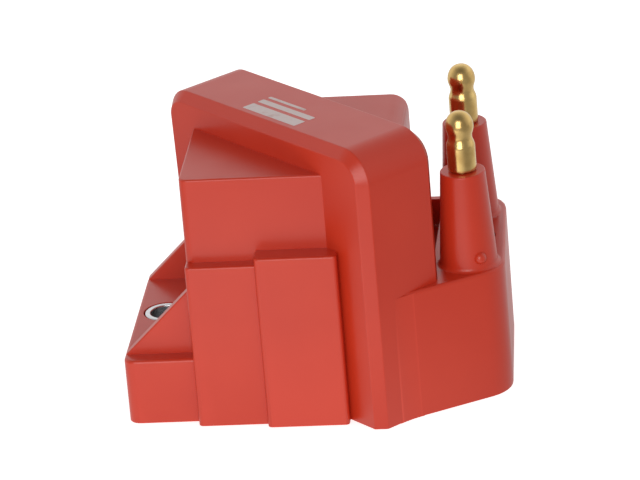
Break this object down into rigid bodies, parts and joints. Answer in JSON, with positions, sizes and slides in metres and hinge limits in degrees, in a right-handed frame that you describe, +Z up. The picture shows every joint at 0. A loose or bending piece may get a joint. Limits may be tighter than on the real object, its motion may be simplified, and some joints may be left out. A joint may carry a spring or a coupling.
{
  "type": "ignition coil",
  "caption": "Moulded ignition coil that turns battery current into high voltage for a pair of plug leads, bolted down through steel sleeves.",
  "frame": {"origin": "middle of the coil's bounding box on the base plane, which is the face that sits on the ignition module", "axes": "+X from the mounting ear towards the high-voltage towers, +Y from the stepped front to the back, +Z up out of the towers"},
  "size_m": [0.0952, 0.069, 0.0735],
  "materials": {
    "red_plastic": "satin moulded red plastic",
    "brass": "polished",
    "steel": "zinc plated",
    "core_steel": "stacked laminations",
    "copper": "enamelled copper wire",
    "bobbin_plastic": "moulded",
    "barrier_film": "insulating film",
    "rubber": "moulded",
    "spacer_board": "pressed fibre board",
    "lead_insulation": "silicone insulation",
    "resin": "cured potting resin"
  },
  "bodies": {
    "root": {"case": "red_plastic", "left_mounting_sleeve": "steel", "right_mounting_sleeve": "steel", "front_high_voltage_terminal": "brass", "rear_high_voltage_terminal": "brass", "front_contact_cup": "brass", "rear_contact_cup": "brass", "potting_seal": "resin", "u_core": "core_steel", "i_core": "core_steel", "core_gap_spacer": "spacer_board", "front_core_cushion": "rubber", "rear_core_cushion": "rubber", "primary_bobbin": "bobbin_plastic", "primary_winding": "copper", "insulating_sleeve": "barrier_film", "secondary_bobbin": "bobbin_plastic", "secondary_winding": "copper", "terminal_carrier": "bobbin_plastic", "front_high_voltage_lead": "lead_insulation", "rear_high_voltage_lead": "lead_insulation", "core_rivet_1": "steel", "core_rivet_2": "steel", "core_rivet_3": "steel", "core_rivet_4": "steel", "primary_terminal_1": "brass", "primary_terminal_2": "brass", "primary_lead_1": "copper", "primary_lead_2": "copper"}
  },
  "joints": []
}
